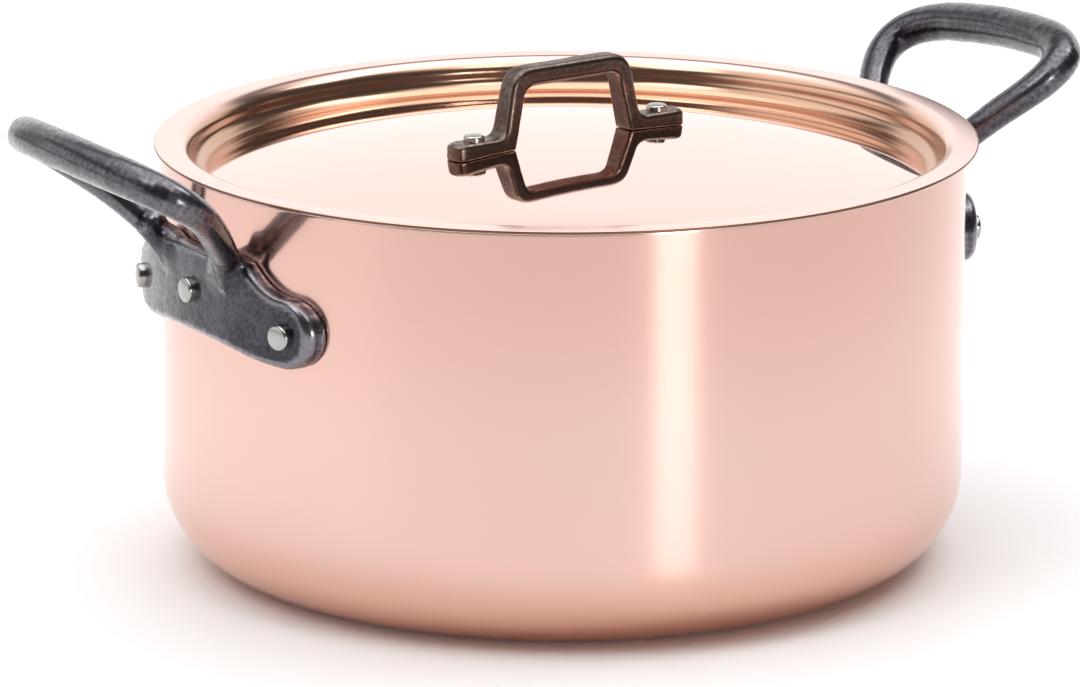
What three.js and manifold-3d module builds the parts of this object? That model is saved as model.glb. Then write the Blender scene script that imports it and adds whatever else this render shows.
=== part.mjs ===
// Copper stewpan with a fitted lid: two cast side handles, a cast lid handle and solid rivets.
// Millimetres, +Z up. The origin is the centre of the base, and the side handles lie along X.
import * as THREE from "three";
import { mergeVertices } from "three/addons/utils/BufferGeometryUtils.js";
import Module from "manifold-3d";

const wasm = await Module();
wasm.setup();

const { degToRad, lerp, clamp } = THREE.MathUtils;

// Pot body, outside sizes, and its two bonded layers
const potRadius = 122;
const potHeight = 128;
const baseCorner = 27;
const potCopper = 1.7;
const potSteel = 0.2;

// Lid: flat flange, plug wall, groove and domed middle, in two bonded layers. It rests turned on
// the rim, and a little off the middle within its clearance.
const lidOverhang = 2.6;
const lidCopper = 0.9;
const lidSteel = 0.2;
const lidDepth = 11;
const domeRise = 10.5;
const flangeRoll = 5;
const grooveFillet = 4.5;
const lidTurn = degToRad(7.4);
const lidSlipX = 1;
const lidSlipY = -0.6;

// Side handle, base plate: two round lobes and a raised middle, its front flatter than the wall.
// The lobes hang below the pot's rim, and the plate's edges are set from the lobes' middles.
const plateThickness = 5;
const plateSetback = 10.7;
const plateDrop = 7.5;
const plateRise = 18.5;
const lobeSpread = 42.5;
const lobeDrop = 36;
const lobeRadius = 10.6;
const shoulderSpread = 27;
const shoulderEase = 8;

// Side handle, loop: two arms that rise from the plate's top edge and a bowed grip
const rootSpread = 20.4;
const rootInset = 1.9;
const rootDrop = 1.3;
const rootSink = 11;
const cornerSpread = 55.7;
const cornerReach = 44.6;
const cornerRound = 28;
const gripReach = 51.7;
const armRise = degToRad(53.4);
const gripRise = degToRad(26.5);
const gripWidth = 13.4;
const gripThickness = 12.1;
const armTaper = 0.7;
const armEase = 1.8;

// How each side handle sits: tilted and pitched about a point above the lobes' middles, and raised
const pivotRise = 3;
const leftTilt = 0;
const leftPitch = 0;
const leftRaise = 0;
const rightTilt = degToRad(-4.2);
const rightPitch = degToRad(2.7);
const rightRaise = 0.7;

// Side rivets: places set from the lobes' middles, button head outside, low round head inside
const endRivetInset = 1;
const endRivetDrop = 0.4;
const middleRivetRise = 5.4;
const sideShank = 1.8;
const sideHead = 3.8;
const sideHeadHeight = 2.6;
const sideInnerHead = 4.4;
const sideInnerHeight = 1.6;

// Lid handle: a bridge over a window, on two round-ended feet
const bridgeWidth = 7.5;
const legThickness = 4.4;
const barHeight = 6.2;
const windowHeight = 18;
const windowFoot = 21.5;
const windowTop = 17.5;
const bridgeOuterRound = 7;
const bridgeInnerRound = 3.5;
const footReach = 39.3;
const footRadius = 5;
const footThickness = 4.6;
const footFillet = 3;

// Lid rivets, set in from the middles of the feet's round ends
const lidRivetInset = 4.3;
const lidShank = 1.6;
const lidHead = 3.2;
const lidHeadHeight = 2;
const lidInnerHead = 3.8;
const lidInnerHeight = 1.4;

// Every rivet's head has this much of its edge rounded off
const headRound = 0.8;

// Clearances: bonded layers, cast iron on sheet, rivet heads, rivet holes, lid in pot, lid on rim
const bondGap = 0.1;
const seatGap = 0.3;
const headGap = 0.3;
const holeGap = 0.15;
const plugGap = 1.5;
const rimGap = 0.05;

// Facets
const potSides = 64;
const lidSides = 48;
const rivetSides = 12;
const loopSides = 12;
const loopSteps = 36;
const cornerSteps = 4;
const rollSteps = 3;
const domeSteps = 6;
const outlineSteps = 8;

const copper = new THREE.MeshStandardMaterial({ color: 0xe3ab94, roughness: 0.16, metalness: 1 });
const lining = new THREE.MeshStandardMaterial({ color: 0xc9c8c6, roughness: 0.3, metalness: 1 });
const castIron = new THREE.MeshStandardMaterial({ color: 0x45424a, roughness: 0.45, metalness: 0.8 });
const rivetSteel = new THREE.MeshStandardMaterial({ color: 0xd2d0cc, roughness: 0.25, metalness: 1 });

const point = (x, y) => new THREE.Vector2(x, y);

// Closed geometries as solids that can be joined and cut, and back
function solid(geometry) {
  const bare = geometry.clone();
  bare.deleteAttribute("normal");
  bare.deleteAttribute("uv");
  const merged = mergeVertices(bare, 1e-4);
  const vertProperties = merged.getAttribute("position").array;
  const triVerts = new Uint32Array(merged.index.array);
  return new wasm.Manifold(new wasm.Mesh({ numProp: 3, vertProperties, triVerts }));
}

function geometryOf(body) {
  const { vertProperties, triVerts } = body.getMesh();
  const geometry = new THREE.BufferGeometry();
  geometry.setAttribute("position", new THREE.BufferAttribute(vertProperties, 3));
  geometry.setIndex(new THREE.BufferAttribute(triVerts, 1));
  geometry.computeVertexNormals();
  return geometry;
}

function drilled(geometry, holes) {
  return geometryOf(holes.reduce((body, hole) => body.subtract(solid(hole)), solid(geometry)));
}

function piece(name, geometry, material) {
  const mesh = new THREE.Mesh(geometry, material);
  mesh.name = name;
  return mesh;
}

// An arc in the plane of a turned profile: x is the radius, y the height
function arc(centre, radius, from, to, steps) {
  const angles = Array.from({ length: steps + 1 }, (_, i) => lerp(from, to, i / steps));
  return angles.map((angle) => point(radius * Math.cos(angle), radius * Math.sin(angle)).add(centre));
}

// A profile turned about Z
function turned(profile, sides) {
  return new THREE.LatheGeometry(profile, sides).rotateX(Math.PI / 2);
}

// A turned sheet between a lower and an upper skin, both listed outward from the axis
function turnedSheet(lower, upper, sides) {
  return turned([...lower, ...upper.toReversed()], sides);
}

// Pot: base, corner and wall at a depth in from the outside
const potSheet = potCopper + bondGap + potSteel;
const potInner = potRadius - potSheet;

function potSkin(depth) {
  const centre = point(potRadius - baseCorner, baseCorner);
  const corner = arc(centre, baseCorner - depth, -Math.PI / 2, 0, cornerSteps);
  return [point(0, depth), ...corner, point(potRadius - depth, potHeight)];
}

// Lid: the top face is the reference, and every skin below it runs parallel to it
const lidRadius = potRadius + lidOverhang;
const lidSheet = lidCopper + bondGap + lidSteel;
const flangeTop = potHeight + rimGap + lidSheet;
const rollCentre = point(potInner - plugGap, flangeTop - flangeRoll);
const plugWall = rollCentre.x - flangeRoll;
const domeTop = flangeTop - lidDepth + domeRise;
const domeRadius = (plugWall ** 2 + domeRise ** 2) / (2 * domeRise);
const domeCentre = point(0, domeTop - domeRadius);
const grooveReach = plugWall - grooveFillet;
const grooveRise = Math.sqrt((domeRadius + grooveFillet) ** 2 - grooveReach ** 2);
const grooveCentre = point(grooveReach, domeCentre.y + grooveRise);
const domeEdge = Math.atan2(grooveRise, grooveReach);

function domeSkin(depth) {
  const dome = arc(domeCentre, domeRadius - depth, Math.PI / 2, domeEdge, domeSteps);
  dome[0].x = 0;
  return dome;
}

function domeHeight(radius, depth) {
  return domeCentre.y + Math.sqrt((domeRadius - depth) ** 2 - radius ** 2);
}

function lidSkin(depth) {
  return [
    ...domeSkin(depth),
    ...arc(grooveCentre, grooveFillet + depth, domeEdge - Math.PI, 0, rollSteps).slice(1),
    ...arc(rollCentre, flangeRoll - depth, Math.PI, Math.PI / 2, rollSteps),
    point(lidRadius, flangeTop - depth),
  ];
}

// Rivet along +Y: a button head past outer, a low round head before inner
function rivet({ inner, outer, shank, head, headHeight, innerHead, innerHeight }) {
  const innerEdge = Math.max(innerHead - headRound, shank);
  return new THREE.LatheGeometry(
    [
      point(0, inner - innerHeight),
      point(innerEdge, inner - innerHeight + headRound / 2),
      point(innerHead, inner - innerHeight / 2),
      point(innerHead, inner),
      point(shank, inner),
      point(shank, outer),
      point(head, outer),
      point(head, outer + headHeight - headRound),
      point(head - headRound, outer + headHeight - headRound / 3),
      point(0, outer + headHeight),
    ],
    rivetSides,
  );
}

function rivetHole(shank, length) {
  return new THREE.CylinderGeometry(shank + holeGap, shank + holeGap, length, rivetSides);
}

// Side handle heights, all carried by the rim
const lobeHeight = potHeight - lobeDrop;
const plateBottom = lobeHeight - plateDrop;
const plateTop = lobeHeight + plateRise;
const rootHeight = plateTop - rootDrop;
const handlePivot = lobeHeight + pivotRise;

// A side handle is drawn as seen from outside: sideways, height, and reach from the pot's axis.
// Its mount carries that to the pot's frame, with the handle on +X.
function mountMatrix(tilt, pitch, raise) {
  const axes = [new THREE.Vector3(0, 1, 0), new THREE.Vector3(0, 0, 1), new THREE.Vector3(1, 0, 0)];
  return new THREE.Matrix4()
    .makeTranslation(potRadius, 0, handlePivot + raise)
    .multiply(new THREE.Matrix4().makeRotationX(tilt))
    .multiply(new THREE.Matrix4().makeRotationY(-pitch))
    .multiply(new THREE.Matrix4().makeTranslation(-potRadius, 0, -handlePivot))
    .multiply(new THREE.Matrix4().makeBasis(...axes));
}

// The plate's front face is a round flatter than the wall, centred behind the pot's axis.
// The arms' axes start a little behind it.
const plateFront = potRadius + seatGap + plateThickness;
const plateCurve = plateFront + plateSetback;
const rootReach = plateFront - rootInset;

// How far out the front face is at a heading
function plateReach(heading) {
  const along = plateSetback * Math.cos(heading);
  const across = plateSetback * Math.sin(heading);
  return Math.sqrt(plateCurve ** 2 - across ** 2) - along;
}

// Each rivet's axis points straight out of the wall, at the rivet's place on the handle
function sideRivets(mount) {
  const endSpread = lobeSpread - endRivetInset;
  const endHeight = lobeHeight - endRivetDrop;
  const places = [
    [-endSpread, endHeight],
    [0, lobeHeight + middleRivetRise],
    [endSpread, endHeight],
  ];
  return places.map(([sideways, height]) => {
    const place = new THREE.Vector3(sideways, height, potRadius).applyMatrix4(mount);
    const heading = Math.asin(place.y / potRadius);
    const matrix = new THREE.Matrix4()
      .makeTranslation(0, 0, place.z)
      .multiply(new THREE.Matrix4().makeRotationZ(heading - Math.PI / 2));
    return { matrix, outer: plateReach(heading) + headGap };
  });
}

function sideRivetHoles(mount) {
  const length = 4 * plateThickness;
  return sideRivets(mount).map(({ matrix }) =>
    rivetHole(sideShank, length).translate(0, potRadius, 0).applyMatrix4(matrix),
  );
}

function plateOutline() {
  const outline = new THREE.Shape();
  const lobeTop = lobeHeight + lobeRadius;
  const quarter = Math.PI / 2;
  outline.moveTo(0, plateBottom);
  outline.quadraticCurveTo(lobeSpread / 2, plateBottom, lobeSpread, lobeHeight - lobeRadius);
  outline.absarc(lobeSpread, lobeHeight, lobeRadius, -quarter, quarter, false);
  outline.quadraticCurveTo(shoulderSpread + shoulderEase, lobeTop, shoulderSpread, plateTop);
  outline.lineTo(-shoulderSpread, plateTop);
  outline.quadraticCurveTo(-shoulderSpread - shoulderEase, lobeTop, -lobeSpread, lobeTop);
  outline.absarc(-lobeSpread, lobeHeight, lobeRadius, quarter, 3 * quarter, false);
  outline.quadraticCurveTo(-lobeSpread / 2, plateBottom, 0, plateBottom);
  return outline;
}

// The loop laid flat: x sideways, y the distance out from the roots
function loopPlan() {
  const root = point(rootSpread, 0);
  const corner = point(cornerSpread, cornerReach);
  const arm = corner.clone().sub(root).normalize();
  const start = root.clone().addScaledVector(arm, -rootSink);
  const armEnd = corner.clone().addScaledVector(arm, -cornerRound);
  const gripEnd = point(cornerSpread - cornerRound, 0);
  gripEnd.y = gripReach - (gripReach - cornerReach) * (gripEnd.x / cornerSpread) ** 2;
  const plan = new THREE.Path();
  plan.moveTo(start.x, start.y);
  plan.lineTo(armEnd.x, armEnd.y);
  plan.quadraticCurveTo(corner.x, corner.y, gripEnd.x, gripEnd.y);
  plan.quadraticCurveTo(gripEnd.x / 2, gripReach, 0, gripReach);
  plan.quadraticCurveTo(-gripEnd.x / 2, gripReach, -gripEnd.x, gripEnd.y);
  plan.quadraticCurveTo(-corner.x, corner.y, -armEnd.x, armEnd.y);
  plan.lineTo(-start.x, start.y);
  return plan;
}

// The flat loop bent upward on one round bend: steep at the roots, flatter at the grip
function loopAt(plan, along) {
  const { x, y } = plan.getPointAt(clamp(along, 0, 1));
  const share = clamp(y / gripReach, 0, 1);
  const rise = lerp(armRise, gripRise, share);
  const chord = (armRise + rise) / 2;
  return {
    centre: new THREE.Vector3(x, rootHeight + y * Math.sin(chord), rootReach + y * Math.cos(chord)),
    normal: new THREE.Vector3(0, Math.cos(rise), -Math.sin(rise)),
    size: lerp(armTaper, 1, share ** armEase),
  };
}

// A round bar carried along the loop, full size at the grip and slimmer at the roots
function loopBar() {
  const plan = loopPlan();
  const bar = new THREE.CylinderGeometry(0.5, 0.5, 1, loopSides, loopSteps);
  const position = bar.getAttribute("position");
  const probe = 1 / (4 * loopSteps);
  for (let i = 0; i < position.count; i++) {
    const along = position.getY(i) + 0.5;
    const { centre, normal, size } = loopAt(plan, along);
    const tangent = loopAt(plan, along + probe).centre;
    tangent.sub(loopAt(plan, along - probe).centre).normalize();
    const thick = normal.addScaledVector(tangent, -normal.dot(tangent)).normalize();
    const wide = new THREE.Vector3().crossVectors(tangent, thick);
    centre.addScaledVector(wide, position.getX(i) * size * gripWidth);
    centre.addScaledVector(thick, position.getZ(i) * size * gripThickness);
    position.setXYZ(i, centre.x, centre.y, centre.z);
  }
  return bar;
}

function column(radius) {
  const top = 2 * potHeight;
  return turned([point(0, 0), point(radius, 0), point(radius, top), point(0, top)], potSides);
}

// Plate and loop in one casting, cut to the wall it sits on and drilled for its rivets
function sideHandle(mount) {
  const inside = solid(column(potRadius + seatGap));
  const around = solid(column(plateCurve).translate(-plateSetback, 0, 0));
  const outline = new THREE.ExtrudeGeometry(plateOutline(), {
    depth: 2 * plateFront,
    bevelEnabled: false,
    curveSegments: outlineSteps,
  });
  const plate = around.intersect(solid(outline.applyMatrix4(mount)));
  const loop = solid(loopBar().applyMatrix4(mount));
  return drilled(geometryOf(plate.add(loop).subtract(inside)), sideRivetHoles(mount));
}

function sideRivet({ matrix, outer }) {
  const innerFace = Math.sqrt(potInner ** 2 - sideInnerHead ** 2) * Math.cos(Math.PI / potSides);
  const geometry = rivet({
    inner: innerFace - headGap,
    outer,
    shank: sideShank,
    head: sideHead,
    headHeight: sideHeadHeight,
    innerHead: sideInnerHead,
    innerHeight: sideInnerHeight,
  });
  return geometry.applyMatrix4(matrix);
}

// A closed shape through corners, each [x, y, rounding]
function roundedShape(corners) {
  const shape = new THREE.Shape();
  const spot = (i) => point(...corners[(i + corners.length) % corners.length]);
  corners.forEach(([x, y, rounding], i) => {
    const corner = point(x, y);
    const before = spot(i - 1).sub(corner).setLength(rounding).add(corner);
    const after = spot(i + 1).sub(corner).setLength(rounding).add(corner);
    if (i === 0) shape.moveTo(before.x, before.y);
    else shape.lineTo(before.x, before.y);
    if (rounding > 0) shape.quadraticCurveTo(x, y, after.x, after.y);
  });
  shape.closePath();
  return shape;
}

// Lid handle seen from the side: x along the bridge, y the height
const lidRivetSpread = footReach - lidRivetInset;
const footTop = domeHeight(lidRivetSpread, 0) + seatGap + footThickness;
const windowCeiling = domeTop + windowHeight;
const barTop = windowCeiling + barHeight;
const belowDome = domeTop - lidDepth;

function bridgeOutline() {
  const end = footReach + footRadius;
  const half = [
    [windowTop, windowCeiling, bridgeInnerRound],
    [windowFoot, domeTop, 0],
    [windowFoot, belowDome, 0],
    [end, belowDome, 0],
    [end, footTop, 0],
    [windowFoot + legThickness, footTop, footFillet],
    [windowTop + legThickness, barTop, bridgeOuterRound],
  ];
  const mirrored = half.toReversed().map(([x, y, rounding]) => [-x, y, rounding]);
  return roundedShape([...half, ...mirrored].toReversed());
}

// Lid handle seen from above: a strip with round ends
function bridgePlan() {
  const plan = new THREE.Shape();
  const quarter = Math.PI / 2;
  plan.absarc(footReach, 0, footRadius, -quarter, quarter, false);
  plan.absarc(-footReach, 0, footRadius, quarter, 3 * quarter, false);
  plan.closePath();
  return plan;
}

// Lid handle seen from its end: full width at the feet, slimmer toward the bar
function bridgeEnd() {
  return roundedShape([
    [-footRadius, belowDome, 0],
    [footRadius, belowDome, 0],
    [footRadius, footTop, 0],
    [bridgeWidth / 2, barTop, 0],
    [-bridgeWidth / 2, barTop, 0],
    [-footRadius, footTop, 0],
  ]);
}

function lidRivetHoles() {
  return [-lidRivetSpread, lidRivetSpread].map((x) =>
    rivetHole(lidShank, 4 * lidDepth).rotateX(Math.PI / 2).translate(x, 0, domeTop),
  );
}

function lidHandle() {
  const width = 2 * footRadius;
  const length = 2 * (footReach + footRadius);
  const options = { bevelEnabled: false, curveSegments: outlineSteps };
  const side = new THREE.ExtrudeGeometry(bridgeOutline(), { ...options, depth: width });
  side.rotateX(Math.PI / 2).translate(0, width / 2, 0);
  const above = new THREE.ExtrudeGeometry(bridgePlan(), { ...options, depth: barTop });
  const end = new THREE.ExtrudeGeometry(bridgeEnd(), { ...options, depth: length });
  end.rotateX(Math.PI / 2).rotateZ(Math.PI / 2).translate(-length / 2, 0, 0);
  const dome = domeSkin(-seatGap);
  const rim = dome.at(-1).x;
  const seat = turned([point(0, 0), point(rim, 0), ...dome.toReversed()], lidSides);
  const body = solid(side).intersect(solid(above)).intersect(solid(end)).subtract(solid(seat));
  return drilled(geometryOf(body), lidRivetHoles());
}

function lidRivet(x) {
  const geometry = rivet({
    inner: domeHeight(lidRivetSpread + lidInnerHead, lidSheet) - headGap,
    outer: footTop + headGap,
    shank: lidShank,
    head: lidHead,
    headHeight: lidHeadHeight,
    innerHead: lidInnerHead,
    innerHeight: lidInnerHeight,
  });
  return geometry.rotateX(Math.PI / 2).translate(x, 0, 0);
}

// Assembly: the pot with its two handles, then the lid as it rests on the rim
const stewpan = new THREE.Group();

const sides = [
  {
    name: "left",
    turn: Math.PI,
    mount: mountMatrix(leftTilt, leftPitch, leftRaise),
    rivets: ["back", "middle", "front"],
  },
  {
    name: "right",
    turn: 0,
    mount: mountMatrix(rightTilt, rightPitch, rightRaise),
    rivets: ["front", "middle", "back"],
  },
];

const potHoles = [];
for (const { name, turn, mount, rivets } of sides) {
  const side = new THREE.Group();
  side.rotation.z = turn;
  side.add(piece(`${name}_handle`, sideHandle(mount), castIron));
  sideRivets(mount).forEach((place, i) => {
    side.add(piece(`${name}_rivet_${rivets[i]}`, sideRivet(place), rivetSteel));
  });
  potHoles.push(...sideRivetHoles(mount).map((hole) => hole.rotateZ(turn)));
  stewpan.add(side);
}

const potShell = turnedSheet(potSkin(0), potSkin(potCopper), potSides);
const potLining = turnedSheet(potSkin(potCopper + bondGap), potSkin(potSheet), potSides);
stewpan.add(piece("pot_shell", drilled(potShell, potHoles), copper));
stewpan.add(piece("pot_lining", drilled(potLining, potHoles), lining));

const lid = new THREE.Group();
lid.rotation.z = lidTurn;
lid.position.set(lidSlipX, lidSlipY, 0);
const lidShell = turnedSheet(lidSkin(lidCopper), lidSkin(0), lidSides);
const lidLining = turnedSheet(lidSkin(lidSheet), lidSkin(lidCopper + bondGap), lidSides);
lid.add(piece("lid_shell", drilled(lidShell, lidRivetHoles()), copper));
lid.add(piece("lid_lining", drilled(lidLining, lidRivetHoles()), lining));
lid.add(piece("lid_handle", lidHandle(), castIron));
lid.add(piece("lid_rivet_left", lidRivet(-lidRivetSpread), rivetSteel));
lid.add(piece("lid_rivet_right", lidRivet(lidRivetSpread), rivetSteel));
stewpan.add(lid);

export default stewpan;
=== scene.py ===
import math

import bpy
import numpy as np
import openvdb
from mathutils import Matrix, Vector, noise


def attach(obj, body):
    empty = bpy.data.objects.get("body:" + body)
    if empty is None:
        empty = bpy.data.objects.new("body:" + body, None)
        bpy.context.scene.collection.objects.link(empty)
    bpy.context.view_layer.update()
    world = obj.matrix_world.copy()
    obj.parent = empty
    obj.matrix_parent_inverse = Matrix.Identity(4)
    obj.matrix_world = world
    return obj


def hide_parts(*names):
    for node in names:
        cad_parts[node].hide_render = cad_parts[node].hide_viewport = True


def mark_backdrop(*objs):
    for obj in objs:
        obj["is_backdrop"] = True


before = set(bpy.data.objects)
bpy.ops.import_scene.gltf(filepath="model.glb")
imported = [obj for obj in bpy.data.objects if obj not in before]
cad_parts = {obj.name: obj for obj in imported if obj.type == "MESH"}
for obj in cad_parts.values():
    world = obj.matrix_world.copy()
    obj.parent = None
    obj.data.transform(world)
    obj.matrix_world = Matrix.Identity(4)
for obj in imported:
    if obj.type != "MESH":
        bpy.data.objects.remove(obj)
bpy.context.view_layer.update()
scene = bpy.context.scene
mm = 0.001  # shapes are given in millimetres and degrees; finishes, lights and meshes are in metres
print("frame loaded:", len(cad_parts), "solids")


class Wire:  # a socket in a node tree, so that sums are written as sums
    def __init__(self, tree, socket=None):
        self.tree, self.socket = tree, socket

    def node(self, kind, settings=None, values=None, out=0):
        made = self.tree.nodes.new(kind)
        for name, value in (settings or {}).items():
            setattr(made, name, value)
        for name, value in (values or {}).items():
            for one in value if isinstance(value, list) else [value]:
                if isinstance(one, Wire):
                    self.tree.links.new(one.socket, made.inputs[name])
                else:
                    made.inputs[name].default_value = one
        return Wire(self.tree, made.outputs[out] if made.outputs else None)

    def also(self, out):  # another output of the same node
        return Wire(self.tree, self.socket.node.outputs[out])

    def sum(self, operation, *values):
        return self.node("ShaderNodeMath", {"operation": operation}, dict(enumerate(values)))

    def __add__(self, other):
        return self.sum("ADD", self, other)

    def __sub__(self, other):
        return self.sum("SUBTRACT", self, other)

    def __rsub__(self, other):
        return self.sum("SUBTRACT", other, self)

    def __mul__(self, other):
        return self.sum("MULTIPLY", self, other)

    def __pow__(self, other):
        return self.sum("POWER", self, other)

    def __rpow__(self, other):
        return self.sum("POWER", other, self)

    def __gt__(self, other):
        return self.sum("GREATER_THAN", self, other)

    def __lt__(self, other):
        return self.sum("LESS_THAN", self, other)

    __radd__ = __add__
    __rmul__ = __mul__


# Finishes

def newFinish(name):
    material = bpy.data.materials.new(name)
    material.use_nodes = True
    material.node_tree.nodes.clear()
    return material, Wire(material.node_tree)


def opaque(colour):  # a plain colour gets its alpha, a wire stays as it is
    return (*colour, 1) if isinstance(colour, tuple) else colour


def blended(wire, share, first, second):
    settings = {"data_type": "RGBA", "clamp_factor": True}
    values = {0: share, 6: opaque(first), 7: opaque(second)}  # by number, as the colours share their names
    return wire.node("ShaderNodeMix", settings, values, out=2)


def eased(wire, value, low, high):  # 0 at low, 1 at high, soft between
    values = {"Value": value, "From Min": low, "From Max": high}
    return wire.node("ShaderNodeMapRange", {"interpolation_type": "SMOOTHSTEP"}, values)


def stretched(wire, place, scale):
    return wire.node("ShaderNodeVectorMath", {"operation": "MULTIPLY"}, {0: place, 1: scale})


def grain(wire, place, scale, detail=3.0, roughness=0.55):
    values = {"Vector": place, "Scale": scale, "Detail": detail, "Roughness": roughness}
    return wire.node("ShaderNodeTexNoise", None, values)


def bumped(wire, height, strength, depth=0.0002):
    return wire.node("ShaderNodeBump", None, {"Strength": strength, "Distance": depth, "Height": height})


def aroundAxis(wire, place, middle):  # across, along, height, and distance from the turning axis
    moved = wire.node("ShaderNodeVectorMath", {"operation": "SUBTRACT"}, {0: place, 1: middle})
    x = wire.node("ShaderNodeSeparateXYZ", None, {"Vector": moved})
    y, z = x.also("Y"), x.also("Z")
    return x, y, z, (x * x + y * y) ** 0.5


def turningLines(wire, x, y, z, reach, fineness, drift=4.0):  # the rings that polishing on a wheel leaves
    values = {"X": x * drift, "Y": y * drift, "Z": (z + reach) * fineness}
    rings = wire.node("ShaderNodeCombineXYZ", None, values)
    return grain(wire, rings, 1.0, detail=1.0, roughness=0.5)


def polishHaze(wire, place, clouds, low=0.3, high=0.75):  # soft patches that the buffing leaves
    return eased(wire, grain(wire, place, clouds, detail=1.0, roughness=0.4), low, high)


def metal(wire, colour, roughness, normal, anisotropic=0.0):
    return wire.node("ShaderNodeBsdfPrincipled", None, {
        "Base Color": colour,
        "Metallic": 1.0,
        "Roughness": roughness,
        "Anisotropic": anisotropic,
        "Anisotropic Rotation": 0.25,  # a quarter turn
        "Normal": normal,
    })


def surface(wire, shader):
    wire.node("ShaderNodeOutputMaterial", None, {"Surface": shader})


lidMiddle = (0.001, -0.0006, 0.0)  # where the lid's axis rests within its clearance
wallCopperLook = {
    # painted shade: the wall's copper is coloured about a fifth darker than the lid's copper, over the whole
    # wall
    "colour": (0.76, 0.51, 0.45),
    "warm": (0.76, 0.50, 0.435),
    # painted shade: copper coloured darker and warmer towards the base, for the shade and copper-tinted
    # reflections between base and floor
    "baseShade": (0.79, 0.455, 0.345),
    "baseShadeHeight": (0.004, 0.034),
    # painted shade: copper coloured darker towards the rim, under the lid's overhanging flange
    "rim": (0.715, 0.447, 0.380),
    "rimShadeHeight": (0.060, 0.118),
    "roughness": 0.19,
    "lines": 420.0,
    "lineRoughness": 0.02,
    "clouds": 9.0,
    "cloudRoughness": 0.02,
    "anisotropic": 0.95,
    "bump": 0.0012,
    "buffed": 0.5,
    "buffedLines": 0.1,
    "buffing": 0.07,
}


def wallPolish(look):
    material, wire = newFinish("wallCopper")
    place = wire.node("ShaderNodeTexCoord", out="Object")
    x, y, z, reach = aroundAxis(wire, place, (0.0, 0.0, 0.0))
    lines = turningLines(wire, x, y, z, reach, look["lines"])
    haze = polishHaze(wire, place, look["clouds"])
    # painted shade: darker, warmer copper towards the bottom of the wall
    baseShade = 1 - eased(wire, z, *look["baseShadeHeight"])
    # painted shade: darker copper towards the rim
    rim = eased(wire, z, *look["rimShadeHeight"])
    colour = blended(wire, haze, look["colour"], look["warm"])
    colour = blended(wire, rim, colour, look["rim"])
    colour = blended(wire, baseShade, colour, look["baseShade"])
    roughness = look["roughness"] + (lines - 0.5) * look["lineRoughness"] + haze * look["cloudRoughness"]
    normal = bumped(wire, lines, look["bump"])
    brushed = metal(wire, colour, roughness, normal, look["anisotropic"])
    buffed = metal(wire, colour, look["buffing"] + haze * look["cloudRoughness"], normal)
    share = look["buffed"] + (lines - 0.5) * look["buffedLines"]
    surface(wire, wire.node("ShaderNodeMixShader", None, {0: share, 1: brushed, 2: buffed}))
    return material


lidCopperLook = {
    "colour": (0.94, 0.645, 0.575),
    "warm": (0.93, 0.62, 0.54),
    # painted shade: the lid's edge is coloured dark brown for the shadow gap under the flange; the rougher
    # edge is real
    "edge": (0.22, 0.10, 0.06),
    "edgeReach": (0.1238, 0.1244),
    "edgeHeight": (0.12905, 0.12925),
    "edgeRoughness": 0.2,
    "roughness": 0.035,
    # painted shade: the groove's sunken wall is coloured darker and golden, for the shade and dim reflections
    # inside the groove
    "groove": (0.58, 0.35, 0.24),
    "grooveRoughness": 0.15,
    "grooveReach": (0.1060, 0.1110),
    "grooveShadeHeight": (0.1264, 0.1291),
    "lines": 520.0,
    "lineRoughness": 0.01,
    "clouds": 12.0,
    "cloudRoughness": 0.01,
    "anisotropic": 0.2,
    "bump": 0.002,
}


def lidPolish(look):
    material, wire = newFinish("lidCopper")
    place = wire.node("ShaderNodeTexCoord", out="Object")
    x, y, z, reach = aroundAxis(wire, place, lidMiddle)
    lines = turningLines(wire, x, y, z, reach, look["lines"])
    haze = polishHaze(wire, place, look["clouds"])
    groove = eased(wire, reach, *look["grooveReach"])  # from the groove outward
    # painted shade: darker, golden copper on the sunken wall of the groove
    grooveShade = groove * (1 - eased(wire, z, *look["grooveShadeHeight"]))
    # painted shade: a dark band along the lid's outer edge
    edge = eased(wire, reach, *look["edgeReach"]) * (1 - eased(wire, z, *look["edgeHeight"]))
    colour = blended(wire, haze, look["colour"], look["warm"])
    colour = blended(wire, grooveShade, colour, look["groove"])
    colour = blended(wire, edge, colour, look["edge"])
    roughness = look["roughness"] + (lines - 0.5) * look["lineRoughness"] + haze * look["cloudRoughness"]
    roughness = roughness + groove * look["grooveRoughness"] + edge * look["edgeRoughness"]
    surface(wire, metal(wire, colour, roughness, bumped(wire, lines, look["bump"]), look["anisotropic"]))
    return material


liningLook = {
    "colour": (0.60, 0.59, 0.57),
    "pale": (0.70, 0.69, 0.67),
    "roughness": 0.27,
    "lines": 600.0,
    "lineShare": 0.6,
    "lineRoughness": 0.16,
    "clouds": 30.0,
    "cloudShare": 0.4,
    "cloudRoughness": 0.08,
    "anisotropic": 0.6,
    "bump": 0.05,
}


def satinSteel(look):
    material, wire = newFinish("liningSteel")
    place = wire.node("ShaderNodeTexCoord", out="Object")
    x, y, z, reach = aroundAxis(wire, place, (0.0, 0.0, 0.0))
    lines = turningLines(wire, x, y, z, reach, look["lines"])
    clouds = grain(wire, place, look["clouds"])
    pale = lines * look["lineShare"] + clouds * look["cloudShare"]
    colour = blended(wire, pale, look["colour"], look["pale"])
    roughness = look["roughness"] + (lines - 0.5) * look["lineRoughness"]
    roughness = roughness + (clouds - 0.5) * look["cloudRoughness"]
    surface(wire, metal(wire, colour, roughness, bumped(wire, lines, look["bump"]), look["anisotropic"]))
    return material


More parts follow.
